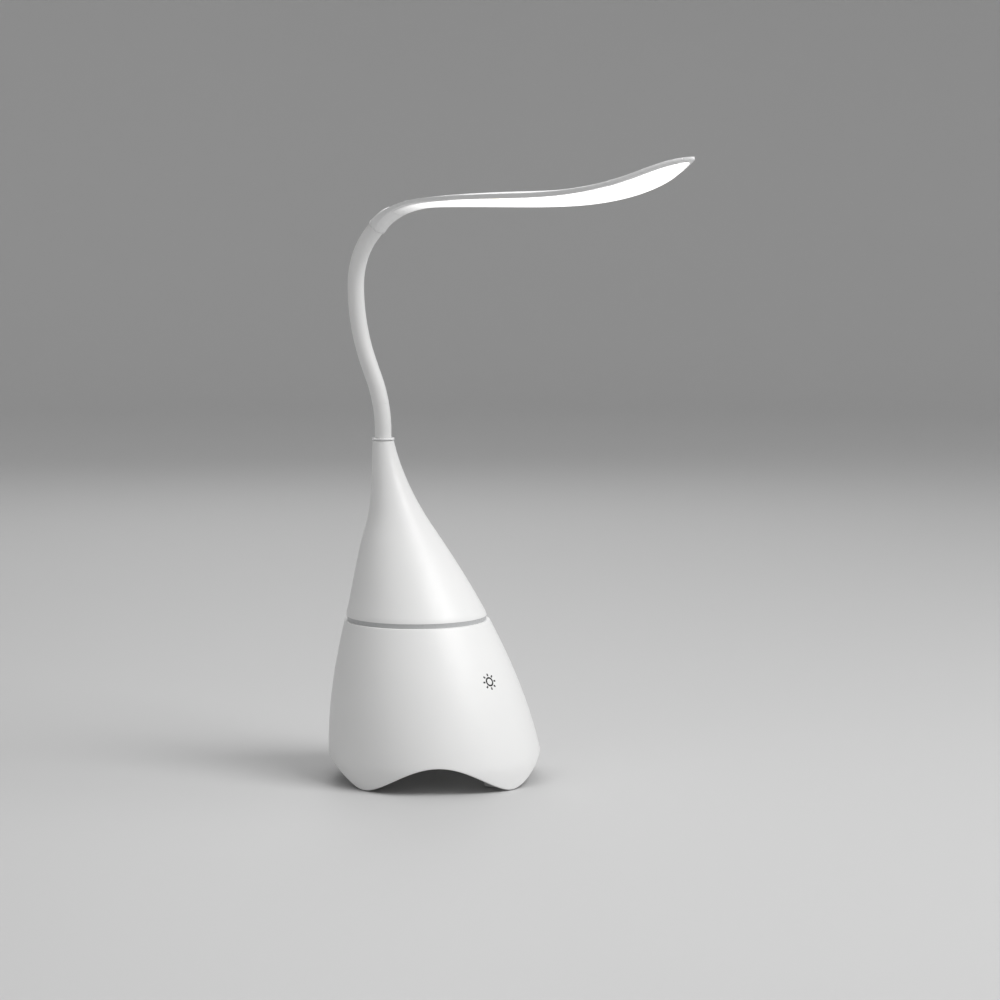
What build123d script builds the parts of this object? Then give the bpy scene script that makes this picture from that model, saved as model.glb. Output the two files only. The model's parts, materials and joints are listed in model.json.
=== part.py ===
from build123d import *
import os
from dataclasses import dataclass
from math import asin, atan2, cos, degrees, pi, radians, sin, sqrt

# Battery desk lamp: a teardrop housing of two shells, a flexible neck and a leaf-shaped light head.
# Millimetres. +Z is up, +X is the way the head points, the origin is on the desk under the housing.


@dataclass
class Ring:
    """A level round section of the housing: its height, radius and shift back towards -X."""

    height: float
    radius: float
    flare: float
    shift: float
    lean: float


# ---- housing outline: flare and lean say how fast radius and shift change with height ----
pad_reveal = 0.4
bulge_height = 15.0
seam_height = 90.0
shoulder_height = 140.0
cone_height = 190.0
neck_shift = 41.0
foot_ring = Ring(height=pad_reveal, radius=56.8, flare=0.55, shift=0.0, lean=0.03)
bulge_ring = Ring(height=bulge_height, radius=60.8, flare=-0.1, shift=0.7, lean=0.07)
seam_ring = Ring(height=seam_height, radius=40.9, flare=-0.39, shift=13.8, lean=0.2)
shoulder_ring = Ring(height=shoulder_height, radius=19.8, flare=-0.5, shift=27.9, lean=0.27)
cone_ring = Ring(height=cone_height, radius=6.0, flare=-0.15, shift=neck_shift, lean=0.12)
section_pitch = 5.0
rings = (foot_ring, bulge_ring, seam_ring, shoulder_ring, cone_ring)

# ---- shells and the groove between them ----
shell_wall = 2.2
groove_height = 2.6
groove_depth = 1.2
groove_ring_width = 1.6
arch_height = 14.6
foot_flat = 5.0
nose_depth = 24.0
lip_clearance = 0.2
lip_height = 4.0
deck_thickness = 2.0

# ---- base plate, legs and rubber pads ----
plate_gap = 1.6
plate_thickness = 2.4
leg_radius = 5.5
leg_circle = 47.0
pad_radius = 4.4
pad_thickness = 1.8
pad_clearance = 0.1

# ---- ballast, battery and boards ----
ballast_radius = 37.0
ballast_thickness = 5.0
battery_radius = 9.2
battery_length = 65.0
cradle_wall = 2.0
board_thickness = 1.6
board_length = 44.0
board_width = 30.0
standoff_height = 4.0
port_width = 8.94
port_height = 3.26
port_length = 7.35
port_level = 28.0
port_clearance = 0.3
touch_level = 56.0
touch_size = 20.0
touch_foil = 0.4

# ---- screws ----
screw_radius = 1.25
screw_head_radius = 2.4
screw_head_height = 1.6
screw_clearance = 0.25
boss_radius = 3.2
boss_length = 13.0

# ---- neck route: straight, back, straight, upright again, forward, straight ----
collar_radius = 6.5
collar_thickness = 1.2
neck_rise = 3.8
lean_back = 27.0
lean_radius = 66.0
lean_run = 9.6
return_radius = 98.0
nod_radius = 39.5
nod_angle = 48.0
neck_end_run = 6.0

# ---- neck pieces ----
sleeve_radius = 4.75
sleeve_bore = 3.75
ball_radius = 2.1
ball_gap = 0.06
socket_radius = 2.75
stem_radius = 1.3
barrel_radius = 2.2
wire_bore = 0.6
pivot_count = 7
first_pivot = 9.0
last_pivot = 6.0
pivot_swing = 15.0
stud_radius = 2.2
stud_flange_radius = 3.6
stud_flange_height = 1.2
clamp_length = 14.0
clamp_width = 10.0
clamp_thickness = 3.0
clamp_screw_reach = 8.5
ferrule_radius = 2.9
ferrule_grip = 13.0

# ---- head ----
head_length = 234.5
head_width = 50.0
head_level = 328.3
head_tip_rise = 19.9
leaf_swell = 1.6
leaf_roundness = 0.8
head_pitch = 13.0
head_band = 2.8
shell_crown = 1.3
diffuser_crown = 4.6
diffuser_start = 24.0
head_wall = 1.2
diffuser_wall = 1.2
tray_thickness = 1.2
tray_width = 14.0
led_count = 16
tray_screw_radius = 0.8
led_length = 3.5
led_width = 2.8
led_height = 0.6
led_first = 70.0
led_last = 196.0

ON_SEAT = (Align.CENTER, Align.CENTER, Align.MIN)


# ======== curves ========


def ease(low, high, z, value, rate):
    """A smooth value at height z between two rings, from its value and rate at each."""
    span = high.height - low.height
    t = (z - low.height) / span
    return (
        (2 * t**3 - 3 * t**2 + 1) * getattr(low, value)
        + (t**3 - 2 * t**2 + t) * span * getattr(low, rate)
        + (3 * t**2 - 2 * t**3) * getattr(high, value)
        + (t**3 - t**2) * span * getattr(high, rate)
    )


def centre_at(z):
    """How far back the housing's axis lies at height z, as an X coordinate."""
    low, high = rings_round(z)
    return -ease(low, high, z, "shift", "lean")


def radius_at(z):
    """The housing's outer radius at height z."""
    low, high = rings_round(z)
    return ease(low, high, z, "radius", "flare")


def rings_round(z):
    """The rings just below and above a height."""
    for low, high in zip(rings, rings[1:]):
        if z <= high.height:
            return low, high
    return rings[-2], rings[-1]


def housing_solid(low, high, inset=0.0):
    """The housing's form between two heights, drawn in by inset all round."""
    steps = max(2, round((high - low) / section_pitch))
    levels = [low + (high - low) * i / steps for i in range(steps + 1)]
    return loft([Pos(centre_at(z), 0, z) * Circle(radius_at(z) - inset) for z in levels])


def turn(angle, reach):
    """A point on a level circle round the origin."""
    return reach * cos(radians(angle)), reach * sin(radians(angle))


def post(x, y, low, high, radius):
    """An upright round bar."""
    return Pos(x, y, low) * Cylinder(radius, high - low, align=ON_SEAT)


def slab(x, y, low, high, length, width):
    """An upright block, centred on x and y."""
    return Pos(x, y, low) * Box(length, width, high - low, align=ON_SEAT)


def ring_post(x, y, low, high, outer, inner):
    """An upright tube."""
    return post(x, y, low, high, outer) - post(x, y, low, high, inner)


def screw(x, y, seat, length, up):
    """A pan-head screw whose head rests on the level seat and whose shank runs up or down."""
    head = post(x, y, seat, seat + screw_head_height, screw_head_radius)
    shank = post(x, y, seat - length, seat, screw_radius)
    body = head + shank
    body = fillet(body.edges().group_by(Axis.Z)[-1], screw_head_height * 0.4)
    cross = Pos(x, y, seat + screw_head_height) * (Box(2.4, 0.5, 1.4) + Box(0.5, 2.4, 1.4))
    body -= cross
    return Pos(x, y, seat) * Rot(180, 0, 0) * Pos(-x, -y, -seat) * body if up else body


# ======== levels that pieces share ========

lower_top = seam_height - groove_height / 2
upper_low = seam_height + groove_height / 2
plate_low = pad_reveal + arch_height + plate_gap
plate_high = plate_low + plate_thickness
ballast_top = plate_high + ballast_thickness
deck_high = lower_top
deck_low = deck_high - deck_thickness
collar_top = cone_height + collar_thickness
nose_low = cone_height - nose_depth
boss_top = plate_high + boss_length
clamp_screw_x = clamp_screw_reach - neck_shift
foot_angles = [90 * i for i in range(4)]
arch_angles = [45 + angle for angle in foot_angles]
plate_screw_circle = radius_at(plate_high) - shell_wall - boss_radius - 1.6
deck_screw_angles = [60, 180, 300]
deck_centre = centre_at(deck_low)
deck_screw_circle = radius_at(lower_top) - shell_wall - boss_radius - lip_clearance - 5.2
upper_screw_angles = [0, 120, 240]
upper_screw_circle = deck_screw_circle
screw_pilot = screw_radius + 0.02
screw_hole = screw_radius + screw_clearance


# ======== housing ========


def arch_cutter(angle):
    """The form that one pair of facing arches takes out of the lower shell's hem."""
    half = radius_at(pad_reveal) * sin(radians(45)) - foot_flat / 2
    points = [
        (half * i / 4, pad_reveal + arch_height * (1 + cos(pi * i / 4)) / 2) for i in range(-4, 5)
    ]
    crest = Spline(points, tangents=[(1, 0), (1, 0)])
    under = Polyline((half, pad_reveal), (half, -pad_reveal - 2), (-half, -pad_reveal - 2), (-half, pad_reveal))
    profile = Plane.XZ * make_face(crest + under)
    return Rot(0, 0, angle + 90) * extrude(profile, amount=radius_at(bulge_height) * 1.3, both=True)


def wall_boss(x, y, low, high, bore_radius, axis_x):
    """A screw boss and the rib that ties it to the wall, as a solid and the bore to take out."""
    away = degrees(atan2(y, x - axis_x))
    rib = Pos(x, y, low) * Rot(0, 0, away) * Box(
        4 * boss_radius, 1.6, high - low, align=(Align.MIN, Align.CENTER, Align.MIN)
    )
    return post(x, y, low, high, boss_radius) + rib, post(x, y, low, high, bore_radius)


def plate_screw_places():
    x0 = centre_at(plate_high)
    return [(x0 + turn(a, plate_screw_circle)[0], turn(a, plate_screw_circle)[1]) for a in arch_angles]


def deck_screw_places():
    spots = [turn(a, deck_screw_circle) for a in deck_screw_angles]
    return [(deck_centre + x, y) for x, y in spots]


def upper_screw_places():
    x0 = centre_at(upper_low + lip_height)
    spots = [turn(a, upper_screw_circle) for a in upper_screw_angles]
    return [(x0 + x, y) for x, y in spots]


def lower_shell():
    outer = housing_solid(pad_reveal, lower_top)
    inner = housing_solid(pad_reveal, lower_top, shell_wall)
    shell = outer - inner
    for x, y in plate_screw_places():
        boss, bore = wall_boss(x, y, plate_high, boss_top, screw_pilot, centre_at(plate_high))
        shell += boss & outer
        shell -= bore
    for x, y in deck_screw_places():
        boss, bore = wall_boss(x, y, deck_low - boss_length, deck_low, screw_pilot, deck_centre)
        shell += boss & outer
        shell -= bore
    for angle in (45, 135):
        shell -= arch_cutter(angle)
    mouth = SlotOverall(port_width + 2 * port_clearance, port_height + 2 * port_clearance)
    reach = radius_at(port_level)
    shell -= Plane((centre_at(port_level) - reach - 5, 0, port_level), x_dir=(0, 1, 0), z_dir=(1, 0, 0)) * extrude(
        mouth, amount=5 + 2 * shell_wall
    )
    return shell


def upper_shell():
    outer = housing_solid(upper_low, cone_height)
    shell = outer - housing_solid(upper_low, nose_low, shell_wall)
    for x, y in upper_screw_places():
        boss_low = upper_low + lip_height + deck_thickness
        boss = post(x, y, boss_low, shoulder_height, boss_radius) & outer
        shell += boss
        shell -= post(x, y, boss_low, boss_low + boss_length, screw_pilot)
    shell -= post(-neck_shift, 0, nose_low - 1, cone_height + 1, stud_radius + pad_clearance)
    shell -= post(clamp_screw_x, 0, nose_low - 1, nose_low + 9.0, screw_pilot)
    return shell


def mid_frame():
    """The frame between the shells: a deck with a lip down, a lip up and the band behind the groove."""
    x_seam, r_seam = centre_at(seam_height), radius_at(seam_height)
    band_radius = r_seam - groove_depth - groove_ring_width
    low_radius = radius_at(lower_top) - shell_wall - lip_clearance
    x_top, r_top = centre_at(upper_low + lip_height), radius_at(upper_low + lip_height)
    top_radius = r_top - shell_wall - lip_clearance
    x_low = centre_at(lower_top)
    frame = post(x_seam, 0, lower_top, upper_low, band_radius)
    frame += post(x_low, 0, deck_low, lower_top, low_radius)
    frame += post(x_top, 0, upper_low, upper_low + lip_height, top_radius)
    frame -= post(x_top, 0, deck_high, upper_low + lip_height + 1, top_radius - 2)
    bar_x, bar_y = board_length / 2 - 3, board_width / 2 - 3
    for x in (-bar_x, bar_x):
        for y in (-bar_y, bar_y):
            frame += post(board_x + x, y, deck_high, deck_high + standoff_height, boss_radius)
            frame -= post(board_x + x, y, deck_low + 0.8, deck_high + standoff_height, screw_pilot)
    for x, y in deck_screw_places():
        frame -= post(x, y, deck_low - 1, deck_high + 1, screw_hole)
    for x, y in upper_screw_places():
        column = ring_post(x, y, deck_high, upper_low + lip_height + deck_thickness, boss_radius, screw_hole)
        frame += column
        frame -= post(x, y, deck_low - 1, deck_high + 1, screw_hole)
    frame -= post(deck_centre, 0, deck_low - 1, deck_high + 1, 4.0)
    return frame


board_x = centre_at(upper_low + lip_height)


def groove_ring():
    """The recessed ring that shows in the groove between the shells."""
    outer = radius_at(seam_height) - groove_depth
    return ring_post(centre_at(seam_height), 0, lower_top, upper_low, outer, outer - groove_ring_width)


def base_plate():
    """The recessed underside, with a leg behind each lobe of the hem."""
    x0 = centre_at(plate_high)
    rim = min(radius_at(plate_low), radius_at(plate_high)) - shell_wall - lip_clearance
    plate = post(x0, 0, plate_low, plate_high, rim)
    leg_low = pad_reveal + 0.6
    for angle in foot_angles:
        x, y = turn(angle, leg_circle)
        plate += post(x, y, leg_low, plate_low, leg_radius)
        plate -= post(x, y, leg_low, pad_thickness, pad_radius + pad_clearance)
    for x, y in plate_screw_places():
        plate -= post(x, y, plate_low, plate_high, screw_hole)
    for x, y in ballast_screw_places():
        plate -= post(x, y, plate_low + 0.6, plate_high, screw_pilot)
    port_post_x = port_board_x()
    for side in (-1, 1):
        plate += slab(port_post_x + 3, side * 5.5, plate_high, port_board_low(), 5, 4)
    return plate


def foot_pads():
    pads = [
        post(*turn(angle, leg_circle), 0, pad_thickness, pad_radius) for angle in foot_angles
    ]
    return [fillet(pad.edges().group_by(Axis.Z)[0], 0.4) for pad in pads]


def ballast_screw_places():
    return [turn(angle, ballast_radius - 5) for angle in (60, 180, 300)]


def ballast_plate():
    plate = post(0, 0, plate_high, ballast_top, ballast_radius)
    plate = chamfer(plate.edges().group_by(Axis.Z)[-1], 0.8)
    for x, y in ballast_screw_places():
        plate -= post(x, y, plate_high, ballast_top, screw_hole)
    return plate


def battery_level():
    return ballast_top + cradle_wall + battery_radius


def battery():
    cell = Pos(battery_x, 0, battery_level()) * Rot(90, 0, 0) * Cylinder(battery_radius, battery_length)
    cell = fillet(cell.edges(), 0.8)
    button = Pos(battery_x, battery_length / 2, battery_level()) * Rot(-90, 0, 0)
    return cell + button * Cylinder(3.0, 1.2, align=ON_SEAT)


battery_x = -14.0


def battery_cradle():
    """A trough with end walls that holds the cell on the ballast."""
    room = battery_radius + 0.15
    length = battery_length + 3.2 + 2 * cradle_wall
    cradle = slab(battery_x, 0, ballast_top, battery_level() + 2, 2 * (room + cradle_wall), length)
    trough = Pos(battery_x, 0, battery_level()) * Rot(90, 0, 0) * Cylinder(room, battery_length + 3.2)
    mouth = slab(battery_x, 0, battery_level(), battery_level() + 3, 2 * room, battery_length + 3.2)
    return cradle - trough - mouth


def main_board():
    low = deck_high + standoff_height
    board = slab(board_x, 0, low, low + board_thickness, board_length, board_width)
    board = fillet(board.edges().filter_by(Axis.Z), 2.0)
    for x, y in board_screw_places():
        board -= post(x, y, low, low + board_thickness, screw_hole)
    return board


def board_screw_places():
    bar_x, bar_y = board_length / 2 - 3, board_width / 2 - 3
    return [(board_x + x, y) for x in (-bar_x, bar_x) for y in (-bar_y, bar_y)]


def board_parts():
    """The controller, coil, capacitor and two plug headers on the main board."""
    top = deck_high + standoff_height + board_thickness
    chip = slab(board_x + 2, 3, top, top + 1.0, 7, 7)
    coil = fillet(slab(board_x - 9, 4, top, top + 4.0, 7, 7).edges().filter_by(Axis.Z), 1.2)
    capacitor = post(board_x - 9, -6, top, top + 7.0, 3.0)
    headers = [slab(board_x + 12, side * 5, top, top + 5.5, 5, 7.5) for side in (-1, 1)]
    return [chip, coil, capacitor] + headers


def port_board_x():
    return centre_at(port_level) - radius_at(port_level) + 0.6 + port_length + 4.0


def port_board_low():
    return port_level - port_height / 2 - board_thickness


def charge_socket():
    """The inlet's metal shell, open at its mouth, with the contact tongue inside."""
    mouth_x = centre_at(port_level) - radius_at(port_level) + 0.6
    frame = Plane((mouth_x, 0, port_level), x_dir=(0, 1, 0), z_dir=(1, 0, 0))
    body = frame * extrude(SlotOverall(port_width, port_height), amount=port_length)
    cavity = frame * extrude(SlotOverall(port_width - 0.6, port_height - 0.6), amount=port_length - 1.0)
    tongue = frame * extrude(Rectangle(6.6, 0.7), amount=port_length)
    tongue &= slab(mouth_x + port_length / 2 + 0.6, 0, port_level - 2, port_level + 2, port_length - 1.2, 9)
    return body - cavity + tongue


def charge_board():
    low = port_board_low()
    return slab(port_board_x(), 0, low, low + board_thickness, port_length + 8.0, 15.0)


def touch_pad():
    """The foil behind the lower shell's front wall that feels a finger."""
    low, high = touch_level - touch_size / 2, touch_level + touch_size / 2
    skin = housing_solid(low - 6, high + 6, shell_wall + 0.05)
    skin -= housing_solid(low - 6, high + 6, shell_wall + 0.05 + touch_foil)
    return skin & slab(radius_at(touch_level), 0, low, high, radius_at(touch_level) * 1.4, touch_size)


# ======== screws ========


def plate_screws():
    """From below, through the base plate into the lower shell."""
    return [screw(x, y, plate_low, 8.0, True) for x, y in plate_screw_places()]


def ballast_screws():
    """From above, through the ballast into the base plate."""
    depth = ballast_thickness + plate_thickness - 0.8
    return [screw(x, y, ballast_top, depth, False) for x, y in ballast_screw_places()]


def deck_screws():
    """From above, through the deck into the lower shell."""
    return [screw(x, y, deck_high, 8.0, False) for x, y in deck_screw_places()]


def upper_screws():
    """From below, through the deck's columns into the upper shell."""
    reach = upper_low + lip_height + deck_thickness - deck_low + 8.0
    return [screw(x, y, deck_low, reach, True) for x, y in upper_screw_places()]


def board_screws():
    seat = deck_high + standoff_height + board_thickness
    return [screw(x, y, seat, 5.0, False) for x, y in board_screw_places()]


# ======== neck ========


def neck_route():
    """The neck's centreline as tangent lines and arcs, from the collar up to the head."""
    start = Vector(-neck_shift, 0, collar_top)
    heading = 0.0
    pieces = [Line(start, start + Vector(0, 0, neck_rise))]
    plan = (
        (lean_radius, lean_back, 0),
        (0, 0, lean_run),
        (return_radius, -lean_back, 0),
        (nod_radius, -nod_angle, 0),
        (0, 0, neck_end_run),
    )
    for radius, swing, run in plan:
        point = pieces[-1] @ 1
        along = Vector(-sin(radians(heading)), 0, cos(radians(heading)))
        if run:
            pieces.append(Line(point, point + along * run))
            continue
        side = 1 if swing > 0 else -1
        inward = Vector(-cos(radians(heading)) * side, 0, -sin(radians(heading)) * side)
        hub = point + inward * radius
        halfway = point_round(hub, point, swing / 2)
        finish = point_round(hub, point, swing)
        pieces.append(ThreePointArc(point, halfway, finish))
        heading += swing
    return Wire(pieces)


def point_round(hub, point, swing):
    """A point turned about a hub in the XZ plane, a positive swing towards -X."""
    a = radians(swing)
    dx, dz = point.X - hub.X, point.Z - hub.Z
    return Vector(hub.X + dx * cos(a) - dz * sin(a), 0, hub.Z + dx * sin(a) + dz * cos(a))


route = neck_route()
neck_length = route.length
joint_point = route @ 1
joint_heading = (route % 1).normalized()
pivot_pitch = (neck_length - first_pivot - last_pivot) / (pivot_count - 1)
pivots = [route @ ((first_pivot + i * pivot_pitch) / neck_length) for i in range(pivot_count)]
stud_seat = Vector(-neck_shift, 0, collar_top + stud_flange_height)
pivot_headings = [(pivots[0] - stud_seat).normalized()]
pivot_headings += [(b - a).normalized() for a, b in zip(pivots, pivots[1:])]
pivot_headings.append(joint_heading)


def along(point, heading):
    """A plane at a point of the neck, with its Z along the heading and its Y level."""
    return Plane(origin=point, x_dir=Vector(0, 1, 0).cross(heading), z_dir=heading)


def rod(radius, low, high):
    """A round bar on the Z axis."""
    return Pos(0, 0, low) * Cylinder(radius, high - low, align=ON_SEAT)


def ball_end(length):
    """The slim stem and ball that a link offers to the next one, the ball's centre at length."""
    return rod(stem_radius, length - 2 * ball_radius, length) + Pos(0, 0, length) * Sphere(ball_radius)


def socket_end(point, heading, came_from):
    """A cup round a ball, open as wide as the last link needs to swing."""
    stem_angle = degrees(asin(stem_radius / ball_radius))
    lip = ball_radius * cos(radians(stem_angle + pivot_swing + 3))
    room = Sphere(ball_radius + ball_gap)
    opening = Pos(0, 0, -lip) * Cylinder(2 * socket_radius, 2 * socket_radius, align=(Align.CENTER, Align.CENTER, Align.MAX))
    cup = along(point, heading) * Sphere(socket_radius)
    return cup, along(point, came_from) * (room + opening)


def neck_link(number):
    """One stiff stretch of the neck's core, socket at its lower pivot and ball at its upper one."""
    low, high = pivots[number], pivots[number + 1]
    came_from, heading = pivot_headings[number], pivot_headings[number + 1]
    length = (high - low).length
    shank = along(low, heading) * (rod(barrel_radius, 0, length - 2 * ball_radius) + ball_end(length))
    cup, hollow = socket_end(low, heading, came_from)
    bore = along(low, heading) * rod(wire_bore, 0, length + ball_radius)
    return cup + shank - hollow - bore


def neck_stud():
    """The hollow threaded stud that the nut draws into the cone, with the first ball on top."""
    low = nose_low - clamp_thickness - 1.5
    shank = post(-neck_shift, 0, low, collar_top, stud_radius)
    flange = post(-neck_shift, 0, collar_top, stud_seat.Z, stud_flange_radius)
    reach = (pivots[0] - stud_seat).length
    tip = along(stud_seat, pivot_headings[0]) * (rod(barrel_radius, 0, reach - 2 * ball_radius) + ball_end(reach))
    bore = post(-neck_shift, 0, low, stud_seat.Z, 2 * wire_bore)
    bore += along(stud_seat, pivot_headings[0]) * rod(wire_bore, -1, reach + ball_radius)
    return shank + flange + tip - bore


def neck_sleeve():
    """The smooth silicone tube over the core."""
    start = Plane(origin=route @ 0, x_dir=(1, 0, 0), z_dir=(0, 0, 1))
    tube = sweep(start * Circle(sleeve_radius), route)
    return tube - sweep(start * Circle(sleeve_bore), route)


def collar():
    disc = post(-neck_shift, 0, cone_height, collar_top, collar_radius)
    disc = fillet(disc.edges(), 0.35)
    return disc - post(-neck_shift, 0, cone_height, collar_top, stud_radius + pad_clearance)


def neck_clamp():
    """The tapped steel plate under the nose that the stud screws into."""
    back = stud_radius + 0.6
    plate = slab(
        clamp_length / 2 - neck_shift - back, 0, nose_low - clamp_thickness, nose_low, clamp_length, clamp_width
    )
    plate &= housing_solid(nose_low - clamp_thickness - section_pitch, nose_low, shell_wall + lip_clearance)
    plate -= post(-neck_shift, 0, nose_low - clamp_thickness, nose_low, stud_radius + 0.02)
    return plate - post(clamp_screw_x, 0, nose_low - clamp_thickness, nose_low, screw_hole)


def clamp_screw():
    """From below, through the clamp into the nose."""
    return screw(clamp_screw_x, 0, nose_low - clamp_thickness, clamp_thickness + 8.0, True)


def head_ferrule():
    """The neck core's last piece: a socket inside the sleeve and a grip inside the head's stem."""
    low = pivots[-1]
    reach = (joint_point - low).length
    cup, hollow = socket_end(low, joint_heading, pivot_headings[-2])
    body = along(low, joint_heading) * (
        rod(barrel_radius, 0, reach) + rod(ferrule_radius, reach + 0.3, reach + ferrule_grip)
        + rod(barrel_radius, reach - 0.1, reach + 0.5)
    )
    bore = along(low, joint_heading) * rod(wire_bore, 0, reach + ferrule_grip)
    return cup + body - hollow - bore


# ======== head ========


def head_route():
    """The head's S-shaped midline, from the neck joint to the tip."""
    shape = ((0.125, -3.9), (0.25, -1.1), (0.5, 0.0), (0.75, 2.7), (0.875, 9.3), (1.0, head_tip_rise))
    points = [Vector(joint_point.X + head_length * t, 0, head_level + rise) for t, rise in shape]
    return Spline([joint_point] + points, tangents=[joint_heading, Vector(1, 0, 0.4)])


head_line = head_route()


def leaf(t):
    """The leaf's half width a share t of the way from the joint to the tip."""
    swell = head_width / 2 * sin(pi * t**leaf_swell) ** leaf_roundness
    return sqrt(sleeve_radius**2 * (1 - t) + swell**2)


def head_section(t, inset, top_inset, bottom_inset):
    """The head's outline across the midline at t, drawn in from its sides, crown and belly."""
    fullness = min(1.0, leaf(t) / (head_width / 2))
    stem = max(0.0, 1 - t / 0.2) ** 2
    half = leaf(t) - inset
    stem_half = sleeve_radius - inset
    band = head_band / 2 * (0.45 + 0.55 * fullness) * (1 - stem) + stem_half * sin(radians(25)) * stem
    top = shell_crown * fullness * (1 - stem) + stem_half * (1 - sin(radians(25))) * stem
    belly = diffuser_crown * fullness * (1 - stem) + stem_half * (1 - sin(radians(25))) * stem
    bulge = 0.25 * fullness * (1 - stem) + stem_half * (1 - cos(radians(25))) * stem
    side = half - bulge
    up, down = band - top_inset * (1 - stem), -band + bottom_inset * (1 - stem)
    outline = [
        ThreePointArc((-side, up), (0, up + top), (side, up)),
        ThreePointArc((side, up), (half, (up + down) / 2), (side, down)),
        ThreePointArc((side, down), (0, down - belly), (-side, down)),
        ThreePointArc((-side, down), (-half, (up + down) / 2), (-side, up)),
    ]
    heading = (head_line % t).normalized()
    plane = Plane(origin=head_line @ t, x_dir=(0, 1, 0), z_dir=heading)
    return plane * make_face(outline)


def head_form(first, last, inset=0.0, top_inset=0.0, bottom_inset=0.0):
    """The head's closed form between two shares of its length, drawn in by the insets."""
    steps = round((last - first) * head_length / head_pitch)
    shares = [first + (last - first) * i / steps for i in range(steps + 1)]
    return loft([head_section(t, inset, top_inset, bottom_inset) for t in shares])


def beside_midline(offset, first, last):
    """The curve at an offset above the head's midline, between two shares of its length."""
    steps = 8
    points = []
    for i in range(steps + 1):
        t = first + (last - first) * i / steps
        heading = (head_line % t).normalized()
        points.append(head_line @ t + Vector(-heading.Z, 0, heading.X) * offset)
    return Spline(points)


def midline_strip(low, high, first, last, half_width):
    """A strip that follows the head's midline, between two offsets above it."""
    under, over = beside_midline(low, first, last), beside_midline(high, first, last)
    outline = [under, over, Line(under @ 0, over @ 0), Line(under @ 1, over @ 1)]
    return extrude(make_face(outline), amount=half_width, dir=(0, 1, 0), both=True)


head_tip_share = 0.993
tray_low = -head_band / 2 + 0.2
led_gap = 0.05
split_share = diffuser_start / head_length
parting = -head_band / 2 - 0.2


def head_below(gap):
    """The space under the parting line between the head's shell and its diffuser."""
    first = split_share + gap / head_length
    edge = beside_midline(parting - gap, first, 1.0)
    heading = (head_line % first).normalized()
    down = Vector(heading.Z, 0, -heading.X) * head_width
    corner = edge @ 0 + down
    far = Vector((edge @ 1).X + 1, 0, (edge @ 1).Z)
    outline = [
        edge,
        Polyline(edge @ 0, corner, Vector(far.X, 0, corner.Z), far, edge @ 1),
    ]
    return extrude(make_face(outline), amount=head_width, dir=(0, 1, 0), both=True)


def head_shell():
    shell = head_form(0, head_tip_share) - head_below(0)
    room = head_form(split_share + 0.02, 0.97, head_wall, head_wall, -2)
    shell -= room
    for seat in tray_screw_seats():
        boss = seat * rod(2.4, tray_thickness, 8) & head_form(0, head_tip_share)
        shell += boss
        shell -= seat * rod(tray_screw_radius + 0.02, 0, 3.2)
    shell -= along(joint_point, joint_heading) * rod(ferrule_radius + pad_clearance, -0.2, ferrule_grip + 0.2)
    return shell


def head_diffuser():
    cover = head_form(0, head_tip_share) & head_below(0.1)
    room = head_form(split_share + 0.02, 0.97, diffuser_wall, 0, diffuser_wall)
    return cover - room


def led_tray():
    """The aluminium strip that follows the head and carries the lights."""
    first, last = led_first - 4, led_last + 4
    tray = midline_strip(
        tray_low, tray_low + tray_thickness, first / head_length, last / head_length, tray_width / 2
    )
    for seat in tray_screw_seats():
        tray -= seat * rod(tray_screw_radius + 0.2, -1, tray_thickness + 1)
    return tray


def led_reach(place):
    """How far along the head a light lies, counted from the first; halves lie between two."""
    return led_first + (led_last - led_first) * place / (led_count - 1)


def under_tray(reach, offset):
    """A plane at an offset from the midline, square to it, its Z pointing up through the head."""
    t = reach / head_length
    heading = (head_line % t).normalized()
    normal = Vector(-heading.Z, 0, heading.X)
    return Plane(origin=head_line @ t + normal * offset, x_dir=(0, 1, 0), z_dir=normal)


def tray_screw_seats():
    return [under_tray(led_reach(place), tray_low) for place in (1.5, 7.5, 13.5)]


def tray_screws():
    """From below, through the tray into the head shell's bosses."""
    pieces = []
    for seat in tray_screw_seats():
        pieces.append(seat * (rod(tray_screw_radius, 0, 3.0) + rod(tray_screw_radius * 1.7, -0.8, 0)))
    return pieces


def leds():
    """The lights along the tray's underside."""
    light = Box(led_length, led_width, led_height, align=(Align.CENTER, Align.CENTER, Align.MAX))
    return [under_tray(led_reach(i), tray_low - led_gap) * light for i in range(led_count)]


def write(node, shape):
    """One STEP file for a node; a list of solids is one node of separate pieces."""
    if isinstance(shape, list):
        shape = Compound(children=shape)
    solids = shape.solids()
    shape = solids[0] if len(solids) == 1 else Compound(children=list(solids))
    shape.label = node
    export_step(shape, f"parts/{node}.step")


os.makedirs("parts", exist_ok=True)
write("lower_shell", lower_shell())
write("upper_shell", upper_shell())
write("mid_frame", mid_frame())
write("groove_ring", groove_ring())
write("base_plate", base_plate())
write("foot_pads", foot_pads())
write("ballast_plate", ballast_plate())
write("battery", battery())
write("battery_cradle", battery_cradle())
write("main_board", main_board())
write("board_parts", board_parts())
write("charge_board", charge_board())
write("charge_socket", charge_socket())
write("touch_pad", touch_pad())
write("plate_screws", plate_screws())
write("ballast_screws", ballast_screws())
write("deck_screws", deck_screws())
write("upper_screws", upper_screws())
write("board_screws", board_screws())
write("collar", collar())
write("neck_stud", neck_stud())
write("neck_clamp", neck_clamp())
write("clamp_screw", clamp_screw())
write("neck_sleeve", neck_sleeve())
for number in range(pivot_count - 1):
    write(f"neck_link_{number + 1}", neck_link(number))
write("head_ferrule", head_ferrule())
write("head_shell", head_shell())
write("head_diffuser", head_diffuser())
write("led_tray", led_tray())
write("leds", leds())
write("tray_screws", tray_screws())
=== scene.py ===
import json
from math import asin, cos, pi, radians, sin, sqrt

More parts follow.
